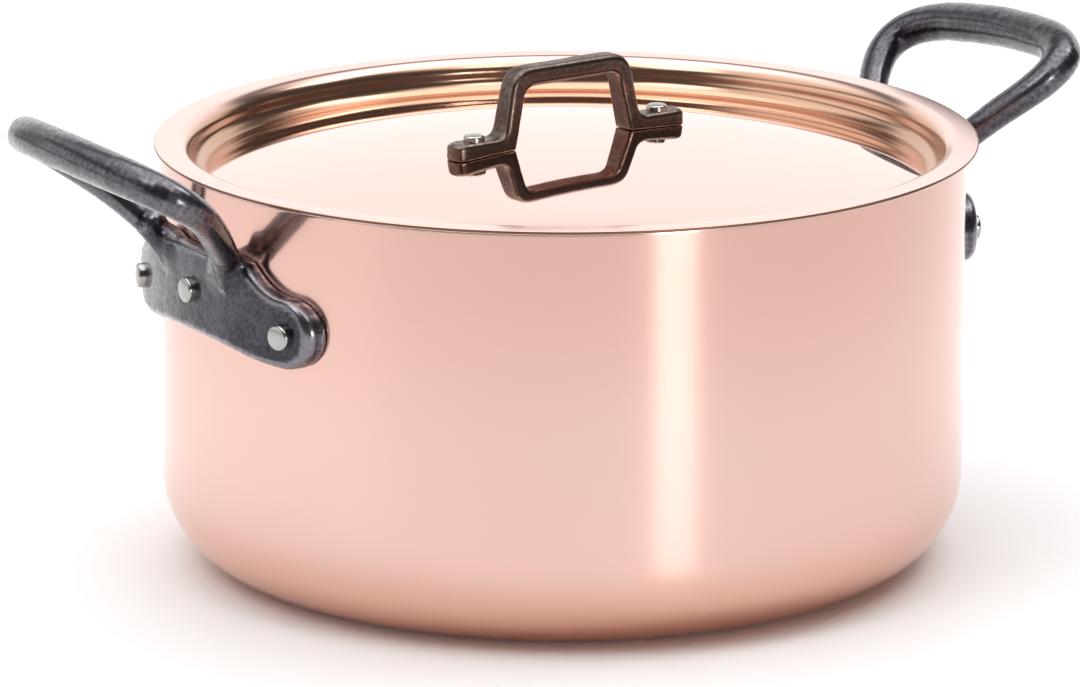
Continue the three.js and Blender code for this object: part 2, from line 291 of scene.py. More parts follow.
sideIronLook = {
    "dark": (0.014, 0.0115, 0.018),
    "grey": (0.036, 0.029, 0.048),
    # lighter edges: partly real wear, partly a painted highlight
    "wornAndHighlit": (0.38, 0.36, 0.39),
    "wearAndHighlight": 0.5,
    "coat": 0.8,
    "roughness": 0.3,
    "bump": 0.06,
}
lidIronLook = {
    "dark": (0.085, 0.060, 0.050),
    "grey": (0.150, 0.109, 0.092),
    # lighter edges: partly real wear, partly a painted highlight
    "wornAndHighlit": (0.30, 0.22, 0.18),
    "wearAndHighlight": 0.2,
    "coat": 0.06,
    "roughness": 0.34,
    "bump": 0.025,
}
ironSkin = {  # what sand casting leaves on both irons, and their lighter edges, partly wear and partly painted highlight
    "blotches": 90.0,
    "blotchDetail": 3.0,
    "flecks": 800.0,
    "fleckDetail": 1.5,
    "pits": 520.0,
    "grainRoughness": 0.5,
    "mottleBlotches": 0.4,
    "mottleFlecks": 0.6,
    "mottleRange": (0.36, 0.64),
    "mottleRoughness": 0.1,
    "wornAndHighlitFlecks": 0.12,
    "wornAndHighlitRange": (0.05, 0.45),
    "rubbedPolish": 0.08,
    "fleckDepth": 0.4,
    "pitDepth": 0.5,
    "depth": 0.0004,
    "coatLeast": 0.6,
    "coatMottle": 0.4,
    "coatRoughness": 0.13,
}


def castIron(name, look, skin):
    material, wire = newFinish(name)
    place = wire.node("ShaderNodeTexCoord", out="Object")
    blotches = grain(wire, place, skin["blotches"], skin["blotchDetail"], skin["grainRoughness"])
    flecks = grain(wire, place, skin["flecks"], skin["fleckDetail"], skin["grainRoughness"])
    values = {"Vector": place, "Scale": skin["pits"]}
    pits = wire.node("ShaderNodeTexVoronoi", {"feature": "SMOOTH_F1"}, values)
    mottle = blotches * skin["mottleBlotches"] + flecks * skin["mottleFlecks"]
    mottle = eased(wire, mottle, *skin["mottleRange"])
    edge = wire.node("ShaderNodeAttribute", {"attribute_name": "edge"}, out="Fac")
    # lighter colour on convex edges: partly real wear, partly painted highlight
    wornAndHighlit = eased(wire, edge + (flecks - 0.5) * skin["wornAndHighlitFlecks"], *skin["wornAndHighlitRange"])
    colour = blended(wire, mottle, look["dark"], look["grey"])
    roughness = look["roughness"] + (1 - mottle) * skin["mottleRoughness"] - wornAndHighlit * skin["rubbedPolish"]
    height = flecks * skin["fleckDepth"] + pits * skin["pitDepth"] + blotches
    surface(wire, wire.node("ShaderNodeBsdfPrincipled", None, {
        "Base Color": blended(wire, wornAndHighlit * look["wearAndHighlight"], colour, look["wornAndHighlit"]),
        "Metallic": 1.0,
        "Roughness": roughness,
        "Normal": bumped(wire, height, look["bump"], skin["depth"]),
        "Coat Weight": look["coat"] * (skin["coatLeast"] + skin["coatMottle"] * mottle),
        "Coat Roughness": skin["coatRoughness"],
    }))
    return material


rivetLook = {
    "colour": (0.37, 0.362, 0.347),
    "pale": (0.48, 0.468, 0.45),
    "roughness": 0.22,
    "scuffs": 1400.0,
    "scuffStretch": (1.0, 1.0, 0.35),
    "scuffDetail": 4.0,
    "scuffGrain": 0.6,
    "scuffRoughness": 0.2,
    "clouds": 260.0,
    "bump": 0.12,
}


def brightSteel(name, look):
    material, wire = newFinish(name)
    place = wire.node("ShaderNodeTexCoord", out="Object")
    drawn = stretched(wire, place, look["scuffStretch"])
    scuffs = grain(wire, drawn, look["scuffs"], look["scuffDetail"], look["scuffGrain"])
    clouds = grain(wire, place, look["clouds"])
    colour = blended(wire, scuffs * 0.5 + clouds * 0.5, look["colour"], look["pale"])
    roughness = look["roughness"] + (scuffs - 0.5) * look["scuffRoughness"]
    surface(wire, metal(wire, colour, roughness, bumped(wire, scuffs, look["bump"])))
    return material


wallCopper = wallPolish(wallCopperLook)
lidCopper = lidPolish(lidCopperLook)
liningSteel = satinSteel(liningLook)
sideIron = castIron("sideIron", sideIronLook, ironSkin)
lidIron = castIron("lidIron", lidIronLook, ironSkin)
rivetSteel = brightSteel("rivetSteel", rivetLook)
print("finishes made")


# Node trees for turned sheets and rivets

weldDistance = 1e-6


def newTree(name, inputs):
    tree = bpy.data.node_groups.new(name, "GeometryNodeTree")
    tree.interface.new_socket("Geometry", in_out="OUTPUT", socket_type="NodeSocketGeometry")
    tree.interface.new_socket("Geometry", in_out="INPUT", socket_type="NodeSocketGeometry")
    for label, kind in inputs:
        tree.interface.new_socket(label, in_out="INPUT", socket_type="NodeSocket" + kind)
    wire = Wire(tree)
    shape = wire.node("NodeGroupInput")
    return tree, wire, [shape.also(i) for i in range(len(inputs) + 1)]


def closeTree(wire, shape, finish):
    whole = wire.node("GeometryNodeRealizeInstances", None, {"Geometry": shape})
    dressed = wire.node("GeometryNodeSetMaterial", None, {"Geometry": whole, "Material": finish})
    wire.node("NodeGroupOutput", None, {"Geometry": dressed})


def turningTree():
    inputs = [("Sides", "Int"), ("Turning Radius", "Float"), ("Crease", "Float"), ("Finish", "Material")]
    tree, wire, (outline, sides, radius, crease, finish) = newTree("turnedSheet", inputs)
    profile = wire.node("GeometryNodeMeshToCurve", None, {"Mesh": outline})
    circle = wire.node("GeometryNodeCurvePrimitiveCircle", None, {"Resolution": sides, "Radius": radius})
    turned = wire.node("GeometryNodeCurveToMesh", None, {"Curve": circle, "Profile Curve": profile})
    outward = wire.node("GeometryNodeFlipFaces", None, {"Mesh": turned})
    closed = wire.node("GeometryNodeMergeByDistance", None, {"Geometry": outward, "Distance": weldDistance})
    smooth = wire.node("GeometryNodeSetShadeSmooth", None, {"Geometry": closed, "Shade Smooth": True})
    sharp = wire.node("GeometryNodeInputMeshEdgeAngle") > crease
    values = {"Geometry": smooth, "Selection": sharp, "Shade Smooth": False}
    creased = wire.node("GeometryNodeSetShadeSmooth", {"domain": "EDGE"}, values)
    closeTree(wire, creased, finish)
    return tree


def rivetTree():
    inputs = [("Shank", "Float"), ("Shank Sides", "Int"), ("Head", "Object"), ("Inner Head", "Object"),
              ("Finish", "Material")]
    tree, wire, (axes, shank, sides, head, innerHead, finish) = newTree("rivetRow", inputs)
    circle = wire.node("GeometryNodeCurvePrimitiveCircle", None, {"Resolution": sides, "Radius": shank})
    lines = wire.node("GeometryNodeMeshToCurve", None, {"Mesh": axes})
    values = {"Curve": lines, "Profile Curve": circle, "Fill Caps": True}
    shanks = wire.node("GeometryNodeCurveToMesh", None, values)
    along = wire.node("GeometryNodeInputNamedAttribute", {"data_type": "FLOAT_VECTOR"}, {"Name": "axis"})
    outside = wire.node("GeometryNodeInputNamedAttribute", {"data_type": "FLOAT"}, {"Name": "outside"})
    turn = wire.node("FunctionNodeAlignRotationToVector", {"axis": "Z"}, {"Vector": along})
    rows = [shanks]
    for part, chosen in ((head, outside > 0.5), (innerHead, (1 - outside) > 0.5)):
        button = wire.node("GeometryNodeObjectInfo", None, {"Object": part}, out="Geometry")
        values = {"Points": axes, "Selection": chosen, "Instance": button, "Rotation": turn}
        rows.append(wire.node("GeometryNodeInstanceOnPoints", None, values))
    closeTree(wire, wire.node("GeometryNodeJoinGeometry", None, {"Geometry": rows}), finish)
    return tree


turnedSheet = turningTree()
rivetRow = rivetTree()


def placed(name, data):
    piece = bpy.data.objects.new(name, data)
    scene.collection.objects.link(piece)
    return piece


def grown(name, mesh, tree, values):  # runs a node tree on a mesh, and keeps the result as a plain mesh
    piece = placed(name, mesh)
    modifier = piece.modifiers.new("grow", "NODES")
    modifier.node_group = tree
    for item in tree.interface.items_tree:
        if item.in_out == "INPUT" and item.name in values:
            modifier[item.identifier] = values[item.name]
    shown = piece.evaluated_get(bpy.context.evaluated_depsgraph_get())
    finished = bpy.data.meshes.new_from_object(shown)
    piece.modifiers.clear()
    piece.data = finished
    finished.name = name
    return piece


# Turned sheets: profiles of [distance from the axis, height], from the axis out and back

turningRadius = 100.0  # of the circle that carries a profile round; any gives the same shape
cornerPoints = 5  # on each eased corner of a sheet's edge


def turned(name, profile, sides, finish, middle=(0, 0, 0), crease=35.0):
    points = np.asarray(profile)
    flat = np.column_stack([points[:, 0] - turningRadius, -points[:, 1], np.zeros(len(points))]) * mm
    mesh = bpy.data.meshes.new(name)
    mesh.from_pydata(flat.tolist(), [(i, i + 1) for i in range(len(points) - 1)], [])
    piece = grown(name, mesh, turnedSheet, {
        "Sides": sides,
        "Turning Radius": turningRadius * mm,
        "Crease": math.radians(crease),
        "Finish": finish,
    })
    piece.data.transform(Matrix.Translation(middle))
    return piece


def arc(centre, radius, start, end, steps):
    angles = np.linspace(start, end, steps + 1)
    return np.column_stack([centre[0] + radius * np.cos(angles), centre[1] + radius * np.sin(angles)])


def sheetProfile(lower, upper, edgeRound):  # two skins from the axis outward, joined by an eased edge
    along = lower[-1] - lower[-2]
    length = np.linalg.norm(along)
    along = along / length
    flat = along * min(2 * edgeRound, (edgeRound + length) / 2)  # a ring here keeps the skin flat to its edge
    across = upper[-1] - lower[-1]
    across = across / np.linalg.norm(across)
    edge = []
    for corner, turns in ((lower[-1], (-90, 0)), (upper[-1], (0, 90))):
        side = 1 if turns[0] < 0 else -1
        centre = corner - along * edgeRound + across * edgeRound * side
        for angle in np.radians(np.linspace(*turns, cornerPoints)):
            edge.append(centre + edgeRound * (along * np.cos(angle) + across * np.sin(angle)))
    return np.vstack([lower[:-1], lower[-1] - flat, edge, upper[-1] - flat, upper[:-1][::-1]])


potSizes = {
    "radius": 122.0,
    "height": 128.0,
    "corner": 27.0,
    "copper": 1.7,
    "steel": 0.2,
    "bond": 0.1,
    "slit": 0.03,
    "rimRound": 0.6,
    "liningRound": 0.1,
    "sides": 224,
    "cornerSteps": 24,
    "baseSteps": 8,
    "wallSteps": 20,
}
potSheet = potSizes["copper"] + potSizes["bond"] + potSizes["steel"]


def potSkin(depth):
    sizes = potSizes
    inset = sizes["radius"] - sizes["corner"]
    base = np.column_stack([np.linspace(0, inset, sizes["baseSteps"]), np.full(sizes["baseSteps"], depth)])
    corner = arc((inset, sizes["corner"]), sizes["corner"] - depth, -math.pi / 2, 0, sizes["cornerSteps"])
    heights = np.linspace(sizes["corner"], sizes["height"], sizes["wallSteps"])
    wall = np.column_stack([np.full(len(heights), sizes["radius"] - depth), heights])
    return np.vstack([base[:-1], corner, wall[1:]])


copperProfile = sheetProfile(potSkin(0), potSkin(potSizes["copper"]), potSizes["rimRound"])
copperBody = turned("copperBody", copperProfile, potSizes["sides"], wallCopper)
liningBack = potSkin(potSizes["copper"] + potSizes["slit"])
liningProfile = sheetProfile(liningBack, potSkin(potSheet), potSizes["liningRound"])
steelInside = turned("steelInside", liningProfile, potSizes["sides"], liningSteel)

lidSizes = {
    "overhang": 2.59,
    "copper": 0.9,
    "steel": 0.2,
    "bond": 0.1,
    "slit": 0.03,
    "depth": 11.0,
    "domeRise": 10.5,
    "flangeRoll": 5.0,
    "grooveFillet": 4.5,
    "turn": 7.4,
    "plugGap": 1.5,
    "liningInset": 0.5,
    "rimGap": 0.05,
    "edgeRound": 0.4,
    "liningRound": 0.08,
    "sides": 360,
    "domeSteps": 28,
    "rollSteps": 16,
}
lidSheet = lidSizes["copper"] + lidSizes["bond"] + lidSizes["steel"]
flangeTop = potSizes["height"] + lidSizes["rimGap"] + lidSheet
rollCentre = (potSizes["radius"] - potSheet - lidSizes["plugGap"], flangeTop - lidSizes["flangeRoll"])
plugWall = rollCentre[0] - lidSizes["flangeRoll"]
domeTop = flangeTop - lidSizes["depth"] + lidSizes["domeRise"]
domeRadius = (plugWall ** 2 + lidSizes["domeRise"] ** 2) / (2 * lidSizes["domeRise"])
domeMiddle = domeTop - domeRadius


def domeHeight(reach, depth):
    return domeMiddle + math.sqrt((domeRadius - depth) ** 2 - reach ** 2)


def lidSkin(depth, inset=0.0):
    sizes = lidSizes
    fillet = sizes["grooveFillet"]
    reach = plugWall - fillet
    rise = math.sqrt((domeRadius + fillet) ** 2 - reach ** 2)
    edge = math.atan2(rise, reach)
    dome = arc((0, domeMiddle), domeRadius - depth, math.pi / 2, edge, sizes["domeSteps"])
    dome[0, 0] = 0
    groove = arc((reach, domeMiddle + rise), fillet + depth, edge - math.pi, 0, sizes["rollSteps"])
    roll = arc(rollCentre, sizes["flangeRoll"] - depth, math.pi, math.pi / 2, sizes["rollSteps"])
    rim = (potSizes["radius"] + sizes["overhang"] - inset, flangeTop - depth)
    return np.vstack([dome, groove[1:], roll, [rim]])


lidProfile = sheetProfile(lidSkin(lidSizes["copper"]), lidSkin(0), lidSizes["edgeRound"])
lidTop = turned("lidTop", lidProfile, lidSizes["sides"], lidCopper, lidMiddle)
underTop = lidSkin(lidSizes["copper"] + lidSizes["slit"], lidSizes["liningInset"])
underFace = lidSkin(lidSheet, lidSizes["liningInset"])
underProfile = sheetProfile(underFace, underTop, lidSizes["liningRound"])
lidInside = turned("lidInside", underProfile, lidSizes["sides"], liningSteel, lidMiddle)
print("turned sheets made")


# Castings: a distance to the surface on a fine grid, negative inside, then meshed where it is nought

sameSpot = 1e-12  # square of the length under which two corners are one
barSearch = {"far": 12.0, "widening": 1.3, "margin": 6.0}  # how far out a bar's distance is worked out
edgeCells = 3  # how far the field is softened to find the edges


def outlineDistance(across, up, corners):  # to a closed outline, on a grid of across by up
    px, py = np.meshgrid(across, up, indexing="ij")
    nearest = np.full(px.shape, np.inf)
    inside = np.zeros(px.shape, bool)
    for (ax, ay), (bx, by) in zip(corners, np.roll(corners, -1, axis=0)):
        ex, ey = bx - ax, by - ay
        length = ex * ex + ey * ey
        if length < sameSpot:
            continue
        share = np.clip(((px - ax) * ex + (py - ay) * ey) / length, 0, 1)
        nearest = np.minimum(nearest, (px - ax - share * ex) ** 2 + (py - ay - share * ey) ** 2)
        if ay != by:
            inside ^= ((ay > py) != (by > py)) & (px < ex * (py - ay) / ey + ax)
    return np.where(inside, -1.0, 1.0) * np.sqrt(nearest)


def roundedEdge(first, second, radius):  # what two shapes share, its edge eased
    corner = np.hypot(np.maximum(first + radius, 0), np.maximum(second + radius, 0))
    return np.minimum(np.maximum(first, second), -radius) + corner


def filleted(first, second, radius):  # two shapes as one, with a fillet between
    hollow = np.hypot(np.maximum(radius - first, 0), np.maximum(radius - second, 0))
    return np.maximum(np.minimum(first, second), radius) - hollow


def bezier(start, pull, end, steps):
    t = np.linspace(0, 1, steps + 1)[:, None]
    return (1 - t) ** 2 * np.asarray(start) + 2 * t * (1 - t) * np.asarray(pull) + t * t * np.asarray(end)


def gridAxes(low, high, voxel):
    return [np.arange(a, b, voxel) for a, b in zip(low, high)]


def barDistance(axes, line, wide, thick, halves, squareness):  # to a bar of changing section along a line
    distance = np.full([len(a) for a in axes], barSearch["far"])
    for i in range(len(line) - 1):
        reach = barSearch["widening"] * max(halves[i].max(), halves[i + 1].max()) + barSearch["margin"]
        low = np.minimum(line[i], line[i + 1]) - reach
        high = np.maximum(line[i], line[i + 1]) + reach
        cut = [slice(*np.searchsorted(a, (lo, hi))) for a, lo, hi in zip(axes, low, high)]
        if any(c.start == c.stop for c in cut):
            continue
        points = np.stack(np.meshgrid(*[a[c] for a, c in zip(axes, cut)], indexing="ij"), -1)
        step = line[i + 1] - line[i]
        share = np.clip((points - line[i]) @ step / (step @ step), 0, 1)
        off = points - line[i] - share[..., None] * step
        widths = halves[i] + share[..., None] * (halves[i + 1] - halves[i])
        across, upward = wide[i] + wide[i + 1], thick[i] + thick[i + 1]
        u = np.abs(off @ across) / np.linalg.norm(across) / widths[..., 0]
        v = np.abs(off @ upward) / np.linalg.norm(upward) / widths[..., 1]
        past = np.abs(off @ step) / np.linalg.norm(step) / widths.mean(-1)
        section = (u ** squareness + v ** squareness) ** (1 / squareness)
        near = (np.hypot(section, past) - 1) * widths.mean(-1)
        distance[tuple(cut)] = np.minimum(distance[tuple(cut)], near)
    return distance


def softened(field, reach):  # each value averaged with its neighbours
    for axis in range(3):
        field = sum(np.roll(field, step, axis) for step in range(-reach, reach + 1)) / (2 * reach + 1)
    return field


def castMesh(name, distance, low, voxel, carry, wobble, finish):
    grid = openvdb.FloatGrid(float(distance.max()))
    grid.copyFromArray(distance.astype(np.float32))
    spots, triangles, quads = grid.convertToPolygons(isovalue=0.0, adaptivity=0.0)
    points = (np.asarray(low) + spots * voxel) * mm
    mesh = bpy.data.meshes.new(name)
    mesh.from_pydata(points.tolist(), [], triangles.tolist() + quads.tolist())
    turning = (softened(distance, edgeCells) - distance) / (2 * voxel * voxel)  # large on an outer edge
    cells = np.clip(np.rint(spots).astype(int), 0, np.array(distance.shape) - 1)
    edge = mesh.attributes.new("edge", "FLOAT", "POINT")
    edge.data.foreach_set("value", turning[tuple(cells.T)].astype(np.float32))
    mesh.transform(carry)
    mesh.update()
    for depth, length in wobble:  # the unevenness that a sand mould leaves
        normals = [v.normal.copy() for v in mesh.vertices]
        for vertex, normal in zip(mesh.vertices, normals):
            vertex.co += normal * (noise.noise(vertex.co / (length * mm)) - 1) / 2 * depth * mm
        mesh.update()
    mesh.polygons.foreach_set("use_smooth", [True] * len(mesh.polygons))
    mesh.materials.append(finish)
    return placed(name, mesh)


sideHandle = {
    "seat": 0.3,
    "sitGap": 0.06,
    "backRound": 0.8,
    "plateThickness": 5.0,
    "plateSetback": 10.7,
    "plateBottom": 84.5,
    "plateTop": 110.5,
    "plateRound": 2.3,
    "lobeSpread": 42.5,
    "lobeHeight": 92.0,
    "lobeRadius": 10.6,
    "lobeSteps": 24,
    "bottomPull": 0.3,
    "bottomTurn": 0.55,
    "lobePull": 0.8,
    "bottomSteps": 8,
    "shoulderSpread": 27.0,
    "shoulderEase": 8.0,
    "shoulderSteps": 10,
    "rootSpread": 20.4,
    "rootInset": 1.9,
    "rootHeight": 109.2,
    "rootSink": 11.0,
    "rootFillet": 4.0,
    "ridgeTop": (22.5, 112.0, 0.6),
    "ridgeTip": (18.8, 102.8, -1.5),
    "ridgeTopSize": (4.5, 4.2),
    "ridgeTipSize": (2.3, 1.4),
    "ridgeSquareness": 2.0,
    "ridgeFillet": 1.2,
    "cornerSpread": 55.7,
    "cornerReach": 44.6,
    "cornerRound": 28.0,
    "gripReach": 51.7,
    "armRise": 53.4,
    "gripRise": 26.5,
    "gripWidth": 13.1,
    "gripThickness": 11.85,
    "gripSquareness": 2.3,
    "armTaper": 0.7,
    "armEase": 1.8,
    "armSteps": 12,
    "cornerSteps": 18,
    "gripSteps": 14,
    "pivot": 95.0,
    "voxel": 0.55,
    "low": (-58.0, 78.0, 107.0),
    "high": (58.0, 152.0, 175.0),
    "wobble": [(0.22, 11.0), (0.10, 3.5)],
}
plateFront = potSizes["radius"] + sideHandle["seat"] + sideHandle["plateThickness"]
plateCurve = plateFront + sideHandle["plateSetback"]


def mountMatrix(tilt, pitch, raised):  # sideways, height and reach to the pot's frame, handle on +X
    out, pivot = potSizes["radius"], sideHandle["pivot"]
    axes = Matrix(((0, 0, 1, 0), (1, 0, 0, 0), (0, 1, 0, 0), (0, 0, 0, 1)))
    return (Matrix.Translation((out, 0, pivot + raised))
            @ Matrix.Rotation(math.radians(tilt), 4, "X") @ Matrix.Rotation(math.radians(-pitch), 4, "Y")
            @ Matrix.Translation((-out, 0, -pivot)) @ axes)


handleMounts = {
    "left": {"turn": 180.0, "mount": mountMatrix(0.0, 0.0, 0.0)},
    "right": {"turn": 0.0, "mount": mountMatrix(-4.2, 2.7, 0.7)},
}

rivetSizes = {
    "endSpread": 41.5,
    "endHeight": 91.6,
    "middleHeight": 97.4,
    "shank": 1.8,
    "hole": 1.95,
    "head": 3.8,
    "headHeight": 2.6,
    "innerHead": 4.4,
    "innerHeight": 1.6,
    "sink": 0.4,
    "gap": 0.3,
}


def plateReach(heading):
    along = sideHandle["plateSetback"] * math.cos(heading)
    across = sideHandle["plateSetback"] * math.sin(heading)
    return math.sqrt(plateCurve ** 2 - across ** 2) - along


def sideRivetPlaces(mount):  # heading round the pot, and height
    sizes = rivetSizes
    spots = [(-sizes["endSpread"], sizes["endHeight"]), (0, sizes["middleHeight"]),
             (sizes["endSpread"], sizes["endHeight"])]
    for sideways, height in spots:
        place = mount @ Vector((sideways, height, potSizes["radius"]))
        yield math.asin(place.y / potSizes["radius"]), place.z


def plateOutline():
    h = sideHandle
    spread, height, radius = h["lobeSpread"], h["lobeHeight"], h["lobeRadius"]
    midway = (h["plateBottom"] + height - radius) / 2
    bottom, lobeBottom = (0, h["plateBottom"]), (spread, height - radius)
    bottomPull, lobePull = (h["bottomPull"] * spread, bottom[1]), (h["lobePull"] * spread, lobeBottom[1])
    turn = (h["bottomTurn"] * spread, midway)
    shoulderPull = (h["shoulderSpread"] + h["shoulderEase"], height + radius)
    shoulder = (h["shoulderSpread"], h["plateTop"])
    half = np.vstack([
        bezier(bottom, bottomPull, turn, h["bottomSteps"]),
        bezier(turn, lobePull, lobeBottom, h["bottomSteps"])[1:],
        arc((spread, height), radius, -math.pi / 2, math.pi / 2, h["lobeSteps"])[1:],
        bezier((spread, height + radius), shoulderPull, shoulder, h["shoulderSteps"])[1:],
    ])
    return np.vstack([half, (half * (-1, 1))[::-1][:-1]])


def loopLine():  # the middle of the bar, its sideways and upright directions, and its half sizes
    h = sideHandle
    root = np.array((h["rootSpread"], 0.0))
    corner = np.array((h["cornerSpread"], h["cornerReach"]))
    arm = (corner - root) / np.linalg.norm(corner - root)
    armEnd = corner - arm * h["cornerRound"]
    gripX = h["cornerSpread"] - h["cornerRound"]
    bow = h["gripReach"] - h["cornerReach"]
    gripEnd = (gripX, h["gripReach"] - bow * (gripX / h["cornerSpread"]) ** 2)
    start = root - arm * h["rootSink"]
    half = np.vstack([
        start + np.linspace(0, 1, h["armSteps"])[:, None] * (armEnd - start),
        bezier(armEnd, corner, gripEnd, h["cornerSteps"])[1:],
        bezier(gripEnd, (gripX / 2, h["gripReach"]), (0, h["gripReach"]), h["gripSteps"])[1:],
    ])
    flat = np.vstack([half, (half * (-1, 1))[::-1][1:]])
    share = np.clip(flat[:, 1] / h["gripReach"], 0, 1)
    rise = np.radians(h["armRise"] + (h["gripRise"] - h["armRise"]) * share)
    chord = (math.radians(h["armRise"]) + rise) / 2
    rootReach = plateFront - h["rootInset"]
    line = np.column_stack([flat[:, 0], h["rootHeight"] + flat[:, 1] * np.sin(chord),
                            rootReach + flat[:, 1] * np.cos(chord)])
    tangent = np.gradient(line, axis=0)
    tangent /= np.linalg.norm(tangent, axis=1)[:, None]
    upright = np.column_stack([0 * rise, np.cos(rise), -np.sin(rise)])
    upright -= (upright * tangent).sum(1)[:, None] * tangent
    upright /= np.linalg.norm(upright, axis=1)[:, None]
    size = h["armTaper"] + (1 - h["armTaper"]) * share ** h["armEase"]
    halves = np.column_stack([size * h["gripWidth"] / 2, size * h["gripThickness"] / 2])
    return line, np.cross(tangent, upright), upright, halves


def sideCasting(name, turn, mount):
    h = sideHandle
    axes = gridAxes(h["low"], h["high"], h["voxel"])
    sideways, height, reach = np.meshgrid(*axes, indexing="ij", sparse=True)
    x, y, z = (sum(mount[row][k] * a for k, a in enumerate((sideways, height, reach))) + mount[row][3]
               for row in range(3))  # where each grid point is in the pot's frame
    outline = outlineDistance(axes[0], axes[1], plateOutline())[:, :, None]
    front = np.hypot(x + h["plateSetback"], y) - plateCurve
    plate = roundedEdge(outline + 0 * reach, front, h["plateRound"])
    body = filleted(plate, barDistance(axes, *loopLine(), h["gripSquareness"]), h["rootFillet"])
    halves = np.array([h["ridgeTopSize"], h["ridgeTipSize"]])
    wide, thick = np.array([(1.0, 0, 0)] * 2), np.array([(0, 0, 1.0)] * 2)
    for side in (-1, 1):  # each arm runs down on to the plate's face as a short tongue
        ends = np.array([h["ridgeTop"], h["ridgeTip"]]) * (side, 1, 1) + (0, 0, plateFront)
        tongue = barDistance(axes, ends, wide, thick, halves, h["ridgeSquareness"])
        body = filleted(body, tongue, h["ridgeFillet"])
    body = roundedEdge(body, potSizes["radius"] + h["sitGap"] - np.hypot(x, y), h["backRound"])
    for heading, level in sideRivetPlaces(mount):
        beside = y * math.cos(heading) - x * math.sin(heading)
        body = np.maximum(body, rivetSizes["hole"] - np.hypot(beside, z - level))
    carry = Matrix.Scale(mm, 4) @ mount @ Matrix.Scale(1 / mm, 4)
    carry = Matrix.Rotation(math.radians(turn), 4, "Z") @ carry
    return castMesh(name, body, h["low"], h["voxel"], carry, h["wobble"], sideIron)


leftCasting = sideCasting("leftCasting", **handleMounts["left"])
rightCasting = sideCasting("rightCasting", **handleMounts["right"])
print("side handles made:", len(leftCasting.data.polygons), len(rightCasting.data.polygons), "faces")

lidHandle = {
    "seat": 0.3,
    "sitGap": 0.06,
    "backRound": 0.5,
    "barWidth": 7.5,
    "legThickness": 4.4,
    "barHeight": 6.2,
    "windowHeight": 18.0,
    "windowFoot": 21.5,
    "windowTop": 17.5,
    "outerRound": 7.0,
    "innerRound": 3.5,
    "footReach": 39.3,
    "footRadius": 5.0,
    "footThickness": 4.6,
    "footFillet": 3.0,
    "edgeRound": 2.0,
    "endRound": 2.4,
    "rivetSpread": 35.0,
    "voxel": 0.36,
    "low": (-46.0, -6.5, 125.0),
    "high": (46.0, 6.5, 155.0),
    "below": 123.0,
    "wobble": [(0.16, 9.0), (0.08, 3.0)],
}
lidRivetSizes = {
    "shank": 1.6,
    "hole": 1.75,
    "head": 3.2,
    "headHeight": 2.0,
    "innerHead": 3.8,
    "innerHeight": 1.4,
    "sink": 0.4,
    "gap": 0.3,
}
footTop = domeHeight(lidHandle["rivetSpread"], 0) + lidHandle["seat"] + lidHandle["footThickness"]
barTop = domeTop + lidHandle["windowHeight"] + lidHandle["barHeight"]


def roundedCorners(corners, steps=8):  # a closed outline through [across, up, rounding]
    spots = np.array([c[:2] for c in corners], float)
    outline = []
    for i, (spot, rounding) in enumerate(zip(spots, (c[2] for c in corners))):
        before, after = spots[i - 1] - spot, spots[(i + 1) % len(spots)] - spot
        if rounding:
            outline.extend(bezier(spot + before / np.linalg.norm(before) * rounding, spot,
                                  spot + after / np.linalg.norm(after) * rounding, steps))
        else:
            outline.append(spot)
    return np.array(outline)


lidRest = Matrix.Translation(lidMiddle) @ Matrix.Rotation(math.radians(lidSizes["turn"]), 4, "Z")


def lidCasting(name):
    h = lidHandle
    axes = gridAxes(h["low"], h["high"], h["voxel"])
    x, y, z = np.meshgrid(*axes, indexing="ij", sparse=True)
    end = h["footReach"] + h["footRadius"]
    half = [
        (h["windowTop"], domeTop + h["windowHeight"], h["innerRound"]),
        (h["windowFoot"], domeTop, 0),
        (h["windowFoot"], h["below"], 0),
        (end, h["below"], 0),
        (end, footTop, 0),
        (h["windowFoot"] + h["legThickness"], footTop, h["footFillet"]),
        (h["windowTop"] + h["legThickness"], barTop, h["outerRound"]),
    ]
    otherHalf = [(-across, up, rounding) for across, up, rounding in half[::-1]]
    side = outlineDistance(axes[0], axes[2], roundedCorners(half + otherHalf))
    slope = (h["footRadius"] - h["barWidth"] / 2) / (barTop - footTop)
    width = h["footRadius"] - slope * np.clip(z - footTop, 0, None)
    section = (np.abs(y) - width) / math.hypot(1, slope)
    plan = np.hypot(np.maximum(np.abs(x) - h["footReach"], 0), y) - h["footRadius"]
    body = roundedEdge(side[:, None, :] + 0 * y, section + 0 * x, h["edgeRound"])
    body = roundedEdge(body, plan + 0 * z, h["endRound"])
    dome = domeRadius + h["sitGap"] - np.sqrt(x * x + y * y + (z - domeMiddle) ** 2)
    body = roundedEdge(body, dome, h["backRound"])
    for spread in (-h["rivetSpread"], h["rivetSpread"]):
        body = np.maximum(body, lidRivetSizes["hole"] - np.hypot(x - spread, y) + 0 * z)
    return castMesh(name, body, h["low"], h["voxel"], lidRest, h["wobble"], lidIron)


bridgeCasting = lidCasting("bridgeCasting")
print("lid handle made:", len(bridgeCasting.data.polygons), "faces")


# Rivets: an edge for each axis, with a button head outside and a low round head inside

rivetShape = {
    "root": 0.3,
    "edge": 0.9,
    "edgeTurn": 78.0,
    "edgeSteps": 8,
    "crown": 0.12,
    "crownMiddle": 0.5,
    "crownDrop": 0.3,
    "lowFullness": 0.98,
    "lowSteps": 12,
    "sides": 40,
    "shankSides": 24,
    "crease": 60.0,
}


def buttonProfile(radius, height):  # nearly flat on top, its edge well rounded
    shape = rivetShape
    edge, crown = shape["edge"], shape["crown"] * height
    centre = (radius - edge, height - crown - edge)
    rounded = arc(centre, edge, 0, math.radians(shape["edgeTurn"]), shape["edgeSteps"])
    root = [(0, -shape["root"]), (radius, -shape["root"])]
    top = [(shape["crownMiddle"] * radius, height - shape["crownDrop"] * crown), (0, height)]
    return np.vstack([root, rounded, top])


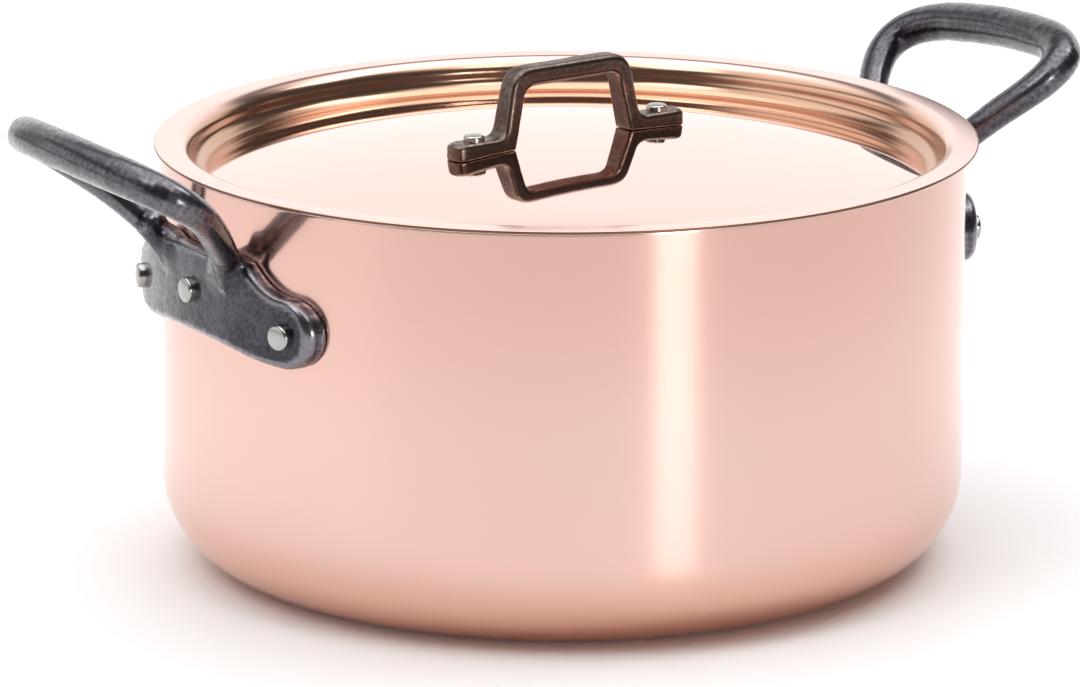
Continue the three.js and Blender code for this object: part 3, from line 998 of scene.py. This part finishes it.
def lowProfile(radius, height):
    shape = rivetShape
    pull = (radius * shape["lowFullness"], -height)
    curve = bezier((radius, shape["root"]), pull, (0, -height), shape["lowSteps"])
    return np.vstack([[(0, shape["root"])], curve])[::-1]


def headModel(name, profile):
    return turned(name, profile, rivetShape["sides"], rivetSteel, crease=rivetShape["crease"])


def rivetSet(name, axes, sizes):
    points = [spot for axis in axes for spot in axis]
    mesh = bpy.data.meshes.new(name)
    mesh.from_pydata([tuple(p * mm) for p in points], [(i, i + 1) for i in range(0, len(points), 2)], [])
    ways = [list((outer - inner).normalized()) * 2 for inner, outer in axes]  # one for each end
    mesh.attributes.new("axis", "FLOAT_VECTOR", "POINT").data.foreach_set("vector", sum(ways, []))
    mesh.attributes.new("outside", "FLOAT", "POINT").data.foreach_set("value", [0.0, 1.0] * len(axes))
    head = headModel("head", buttonProfile(sizes["head"], sizes["headHeight"]))
    innerHead = headModel("innerHead", lowProfile(sizes["innerHead"], sizes["innerHeight"]))
    row = grown(name, mesh, rivetRow, {
        "Shank": sizes["shank"] * mm,
        "Shank Sides": rivetShape["shankSides"],
        "Head": head,
        "Inner Head": innerHead,
        "Finish": rivetSteel,
    })
    for model in (head, innerHead):
        bpy.data.objects.remove(model)
    return row


def sideRivetAxes():
    sizes, radius = rivetSizes, potSizes["radius"]
    inner = math.sqrt((radius - potSheet) ** 2 - sizes["innerHead"] ** 2) - sizes["gap"] + sizes["sink"]
    for handle in handleMounts.values():
        turn = Matrix.Rotation(math.radians(handle["turn"]), 4, "Z")
        for heading, level in sideRivetPlaces(handle["mount"]):
            out = Vector((math.cos(heading), math.sin(heading), 0))
            lift = Vector((0, 0, level))
            outer = plateReach(heading) + sizes["gap"] - sizes["sink"]
            yield turn @ (out * inner + lift), turn @ (out * outer + lift)


def lidRivetAxes():
    sizes, spread = lidRivetSizes, lidHandle["rivetSpread"]
    inner = domeHeight(spread + sizes["innerHead"], lidSheet) - sizes["gap"] + sizes["sink"]
    outer = footTop + sizes["gap"] - sizes["sink"]
    rest = Matrix.Scale(1 / mm, 4) @ lidRest @ Matrix.Scale(mm, 4)
    for x in (-spread, spread):
        yield rest @ Vector((x, 0, inner)), rest @ Vector((x, 0, outer))


sideRivets = rivetSet("sideRivets", list(sideRivetAxes()), rivetSizes)
lidRivets = rivetSet("lidRivets", list(lidRivetAxes()), lidRivetSizes)
print("rivets made")


# What each piece rides on, stands for and is made of

rivetPlaces = ("front", "middle", "back")
sideRivetNodes = [f"{side}_rivet_{place}" for side in handleMounts for place in rivetPlaces]
pieces = [
    (copperBody, "pot", "copper", ["pot_shell"]),
    (steelInside, "pot", "lining", ["pot_lining"]),
    (leftCasting, "pot", "cast_iron", ["left_handle"]),
    (rightCasting, "pot", "cast_iron", ["right_handle"]),
    (sideRivets, "pot", "rivet_steel", sideRivetNodes),
    (lidTop, "lid", "copper", ["lid_shell"]),
    (lidInside, "lid", "lining", ["lid_lining"]),
    (bridgeCasting, "lid", "cast_iron", ["lid_handle"]),
    (lidRivets, "lid", "rivet_steel", ["lid_rivet_left", "lid_rivet_right"]),
]
for piece, body, slot, solids in pieces:
    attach(piece, body)
    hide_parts(*solids)


# Floor, lights and camera

floorLook = {"colour": (0.95, 0.95, 0.95), "roughness": 0.6, "gloss": 0.2, "size": 14.0}


def paleFloor():
    material, wire = newFinish("paleFloor")
    surface(wire, wire.node("ShaderNodeBsdfPrincipled", None, {
        "Base Color": opaque(floorLook["colour"]),
        "Roughness": floorLook["roughness"],
        "Specular IOR Level": floorLook["gloss"],
    }))
    half = floorLook["size"] / 2
    corners = [(-half, -half, 0), (half, -half, 0), (half, half, 0), (-half, half, 0)]
    mesh = bpy.data.meshes.new("floor")
    mesh.from_pydata(corners, [], [(0, 1, 2, 3)])
    mesh.materials.append(material)
    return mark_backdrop(placed("floor", mesh))


paleFloor()

cameraView = {
    "azimuth": -30.6,
    "elevation": 14.6,
    "distance": 2.02,
    "height": 0.060,
    "aside": -0.00677,
    "above": 0.00418,
    "lens": 220.83,
    "sensor": 36.0,
    "farthest": 30.0,
}
# Azimuth and elevation as the camera's, then distance, width, height, brightness and soft edge
lightBoxes = [
    ("topBox", 150.0, 88.0, 1.9, 4.0, 4.0, 2.25, 0.33),
    ("keyBox", -75.0, 48.0, 1.9, 0.9, 0.9, 3.5, 0.25),
    ("fillBox", 76.0, 50.0, 1.9, 0.9, 0.9, 3.6, 0.25),
    ("frontBox", 0.0, 50.0, 1.9, 0.6, 0.6, 3.4, 0.25),
    ("backCard", 149.0, 17.0, 2.3, 6.0, 1.8, 1.13, 0.2),
    ("leftBox", -118.0, 12.0, 2.0, 4.0, 0.85, 1.35, 0.25),
    ("leftHigh", -128.0, 40.0, 1.9, 3.0, 1.1, 1.3, 0.3),
    ("rightStrip", 0.0, 5.0, 2.1, 0.48, 0.40, 19.0, 0.12),
]
studioGlow = 0.08


def direction(azimuth, elevation):
    a, e = math.radians(azimuth), math.radians(elevation)
    return Vector((math.sin(a) * math.cos(e), -math.cos(a) * math.cos(e), math.sin(e)))


def facing(towards):
    return towards.to_track_quat("-Z", "Y").to_euler()


target = Vector((0, 0, cameraView["height"]))


def softBox(name, azimuth, elevation, distance, width, height, brightness, softEdge):
    light = bpy.data.lights.new(name, "AREA")
    light.shape = "RECTANGLE"
    light.size = width
    light.size_y = height
    light.energy = brightness * math.pi * width * height
    light.use_nodes = True
    light.node_tree.nodes.clear()
    cloth = Wire(light.node_tree)
    spot = cloth.node("ShaderNodeNewGeometry", out="Parametric")
    across = cloth.node("ShaderNodeSeparateXYZ", None, {"Vector": spot})
    fade = 1.0
    for side in (across, across.also("Y")):
        fade = eased(cloth, side, 0, softEdge) * eased(cloth, 1 - side, 0, softEdge) * fade
    shine = cloth.node("ShaderNodeEmission", None, {"Strength": fade})
    cloth.node("ShaderNodeOutputLight", None, {"Surface": shine})
    box = placed(name, light)
    box.location = target + direction(azimuth, elevation) * distance
    box.rotation_euler = facing(target - box.location)


for box in lightBoxes:
    softBox(*box)

studio = bpy.data.worlds.new("studio")
scene.world = studio
studio.use_nodes = True
studio.node_tree.nodes.clear()
air = Wire(studio.node_tree)
glow = air.node("ShaderNodeBackground", None, {"Color": (1.0, 1.0, 1.0, 1), "Strength": studioGlow})
air.node("ShaderNodeOutputWorld", None, {"Surface": glow})
scene.view_settings.view_transform = "Standard"

lens = bpy.data.cameras.new("camera")
lens.sensor_fit = "HORIZONTAL"
lens.sensor_width = cameraView["sensor"]
lens.lens = cameraView["lens"]
lens.clip_end = cameraView["farthest"]
camera = placed("camera", lens)
scene.camera = camera
back = direction(cameraView["azimuth"], cameraView["elevation"])
camera.location = target + back * cameraView["distance"]
right = direction(cameraView["azimuth"] + 90, 0)
aim = target + right * cameraView["aside"] + back.cross(right) * cameraView["above"]
camera.rotation_euler = facing(aim - camera.location)
print("floor, lights and camera placed")
